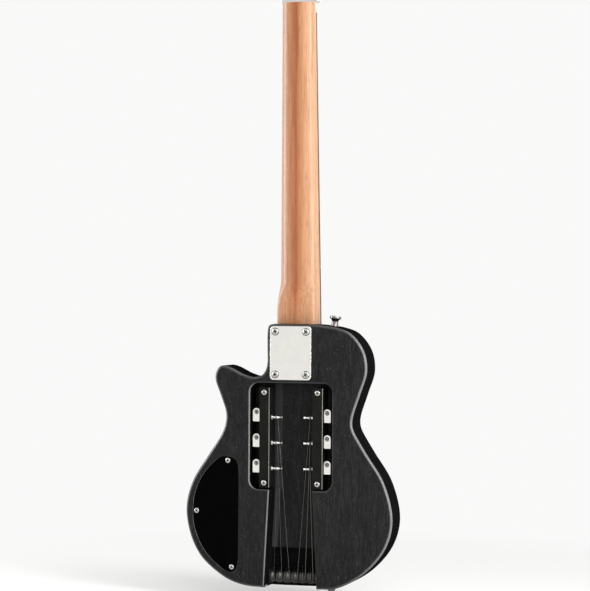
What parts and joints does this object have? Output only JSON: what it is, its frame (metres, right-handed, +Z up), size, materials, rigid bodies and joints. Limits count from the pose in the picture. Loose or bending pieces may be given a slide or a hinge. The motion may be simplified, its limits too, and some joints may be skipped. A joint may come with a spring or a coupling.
{
  "type": "travel guitar",
  "caption": "Small-bodied headless electric guitar with its tuners in a cavity of the back, a bolt-on neck, tail rollers and a metal string anchor at the neck's end.",
  "frame": {"origin": "middle of the body's thickness on the neck's centre line, level with the body's lowest edge, where a stand's cradle holds it", "axes": "+Z up the neck, +Y towards the strings and the playing side, +X towards the low string's side"},
  "size_m": [0.2594, 0.0664, 0.739],
  "materials": {
    "satin_black_wood": "satin black over open-pored wood, edges rubbed a little lighter",
    "neck_wood": "satin clear coat over reddish brown straight-grained wood",
    "fretboard_wood": "oiled dark wood with bright metal frets",
    "steel": "turned and brushed",
    "string_steel": "plain and wound steel wire",
    "chrome": "polished plating",
    "black_metal": "satin black coating",
    "gloss_black_plastic": "smooth, almost glossy black",
    "matte_black_plastic": "fine matte black"
  },
  "bodies": {
    "root": {"body": "satin_black_wood", "neck": "neck_wood", "truss_rod": "steel", "fretboard": "fretboard_wood", "head_piece": "chrome", "neck_plate": "chrome", "neck_screw_1": "steel", "neck_screw_2": "steel", "neck_screw_3": "steel", "neck_screw_4": "steel", "control_cover": "gloss_black_plastic", "tuner_rail_treble": "black_metal", "tuner_rail_bass": "black_metal", "tuner_housing_treble_1": "chrome", "tuner_housing_treble_2": "chrome", "tuner_housing_treble_3": "chrome", "tuner_housing_bass_1": "chrome", "tuner_housing_bass_2": "chrome", "tuner_housing_bass_3": "chrome", "roller_bracket": "black_metal", "roller_axle": "steel", "bridge": "chrome", "pickup": "matte_black_plastic", "volume_pot": "steel", "tone_pot": "steel", "output_socket": "chrome", "strap_button_upper": "steel", "strap_button_tail": "steel", "string_1": "string_steel", "string_2": "string_steel", "string_3": "string_steel", "string_4": "string_steel", "string_5": "string_steel", "string_6": "string_steel"},
    "key_treble_1": {"key_treble_1": "chrome"},
    "post_treble_1": {"post_treble_1": "chrome"},
    "key_treble_2": {"key_treble_2": "chrome"},
    "post_treble_2": {"post_treble_2": "chrome"},
    "key_treble_3": {"key_treble_3": "chrome"},
    "post_treble_3": {"post_treble_3": "chrome"},
    "key_bass_1": {"key_bass_1": "chrome"},
    "post_bass_1": {"post_bass_1": "chrome"},
    "key_bass_2": {"key_bass_2": "chrome"},
    "post_bass_2": {"post_bass_2": "chrome"},
    "key_bass_3": {"key_bass_3": "chrome"},
    "post_bass_3": {"post_bass_3": "chrome"},
    "roller_1": {"roller_1": "steel"},
    "roller_2": {"roller_2": "steel"},
    "roller_3": {"roller_3": "steel"},
    "roller_4": {"roller_4": "steel"},
    "roller_5": {"roller_5": "steel"},
    "roller_6": {"roller_6": "steel"},
    "saddle_1": {"saddle_1": "steel"},
    "saddle_2": {"saddle_2": "steel"},
    "saddle_3": {"saddle_3": "steel"},
    "saddle_4": {"saddle_4": "steel"},
    "saddle_5": {"saddle_5": "steel"},
    "saddle_6": {"saddle_6": "steel"},
    "volume_knob": {"volume_knob": "matte_black_plastic"},
    "tone_knob": {"tone_knob": "matte_black_plastic"}
  },
  "joints": [
    {"name": "key_treble_1_turn", "type": "hinge", "parent": "root", "child": "key_treble_1", "pos_m": [-0.0439, 0, 0.2096], "axis": [0, 1, 0], "continuous": true},
    {"name": "post_treble_1_turn", "type": "hinge", "parent": "root", "child": "post_treble_1", "pos_m": [0, -0.0093, 0.2032], "axis": [1, 0, 0], "continuous": true},
    {"name": "key_treble_2_turn", "type": "hinge", "parent": "root", "child": "key_treble_2", "pos_m": [-0.0439, 0, 0.179], "axis": [0, 1, 0], "continuous": true},
    {"name": "post_treble_2_turn", "type": "hinge", "parent": "root", "child": "post_treble_2", "pos_m": [0, -0.0093, 0.1726], "axis": [1, 0, 0], "continuous": true},
    {"name": "key_treble_3_turn", "type": "hinge", "parent": "root", "child": "key_treble_3", "pos_m": [-0.0439, 0, 0.1484], "axis": [0, 1, 0], "continuous": true},
    {"name": "post_treble_3_turn", "type": "hinge", "parent": "root", "child": "post_treble_3", "pos_m": [0, -0.0093, 0.142], "axis": [1, 0, 0], "continuous": true},
    {"name": "key_bass_1_turn", "type": "hinge", "parent": "root", "child": "key_bass_1", "pos_m": [0.0439, 0, 0.2096], "axis": [0, 1, 0], "continuous": true},
    {"name": "post_bass_1_turn", "type": "hinge", "parent": "root", "child": "post_bass_1", "pos_m": [0, -0.0093, 0.2032], "axis": [1, 0, 0], "continuous": true},
    {"name": "key_bass_2_turn", "type": "hinge", "parent": "root", "child": "key_bass_2", "pos_m": [0.0439, 0, 0.179], "axis": [0, 1, 0], "continuous": true},
    {"name": "post_bass_2_turn", "type": "hinge", "parent": "root", "child": "post_bass_2", "pos_m": [0, -0.0093, 0.1726], "axis": [1, 0, 0], "continuous": true},
    {"name": "key_bass_3_turn", "type": "hinge", "parent": "root", "child": "key_bass_3", "pos_m": [0.0439, 0, 0.1484], "axis": [0, 1, 0], "continuous": true},
    {"name": "post_bass_3_turn", "type": "hinge", "parent": "root", "child": "post_bass_3", "pos_m": [0, -0.0093, 0.142], "axis": [1, 0, 0], "continuous": true},
    {"name": "roller_1_spin", "type": "hinge", "parent": "root", "child": "roller_1", "pos_m": [-0.0245, 0.0011, 0.0122], "axis": [1, 0, 0], "continuous": true},
    {"name": "roller_2_spin", "type": "hinge", "parent": "root", "child": "roller_2", "pos_m": [-0.0147, 0.0011, 0.0122], "axis": [1, 0, 0], "continuous": true},
    {"name": "roller_3_spin", "type": "hinge", "parent": "root", "child": "roller_3", "pos_m": [-0.0049, 0.0011, 0.0122], "axis": [1, 0, 0], "continuous": true},
    {"name": "roller_4_spin", "type": "hinge", "parent": "root", "child": "roller_4", "pos_m": [0.0049, 0.0011, 0.0122], "axis": [1, 0, 0], "continuous": true},
    {"name": "roller_5_spin", "type": "hinge", "parent": "root", "child": "roller_5", "pos_m": [0.0147, 0.0011, 0.0122], "axis": [1, 0, 0], "continuous": true},
    {"name": "roller_6_spin", "type": "hinge", "parent": "root", "child": "roller_6", "pos_m": [0.0245, 0.0011, 0.0122], "axis": [1, 0, 0], "continuous": true},
    {"name": "saddle_1_slide", "type": "slide", "parent": "root", "child": "saddle_1", "axis": [0, 0, 1], "range_m": [-0.0025, 0.0025]},
    {"name": "saddle_2_slide", "type": "slide", "parent": "root", "child": "saddle_2", "axis": [0, 0, 1], "range_m": [-0.0025, 0.0025]},
    {"name": "saddle_3_slide", "type": "slide", "parent": "root", "child": "saddle_3", "axis": [0, 0, 1], "range_m": [-0.0025, 0.0025]},
    {"name": "saddle_4_slide", "type": "slide", "parent": "root", "child": "saddle_4", "axis": [0, 0, 1], "range_m": [-0.0025, 0.0025]},
    {"name": "saddle_5_slide", "type": "slide", "parent": "root", "child": "saddle_5", "axis": [0, 0, 1], "range_m": [-0.0025, 0.0025]},
    {"name": "saddle_6_slide", "type": "slide", "parent": "root", "child": "saddle_6", "axis": [0, 0, 1], "range_m": [-0.0025, 0.0025]},
    {"name": "volume_knob_turn", "type": "hinge", "parent": "root", "child": "volume_knob", "pos_m": [-0.09104, 0, 0.11403], "axis": [0, 1, 0], "range_deg": [-300, 0]},
    {"name": "tone_knob_turn", "type": "hinge", "parent": "root", "child": "tone_knob", "pos_m": [-0.09104, 0, 0.07402], "axis": [0, 1, 0], "range_deg": [-300, 0]}
  ],
  "couplings": [
    {"joint": "post_treble_1_turn", "follows": "key_treble_1_turn", "ratio": -0.066667},
    {"joint": "post_treble_2_turn", "follows": "key_treble_2_turn", "ratio": -0.066667},
    {"joint": "post_treble_3_turn", "follows": "key_treble_3_turn", "ratio": -0.066667},
    {"joint": "post_bass_1_turn", "follows": "key_bass_1_turn", "ratio": 0.066667},
    {"joint": "post_bass_2_turn", "follows": "key_bass_2_turn", "ratio": 0.066667},
    {"joint": "post_bass_3_turn", "follows": "key_bass_3_turn", "ratio": 0.066667}
  ]
}
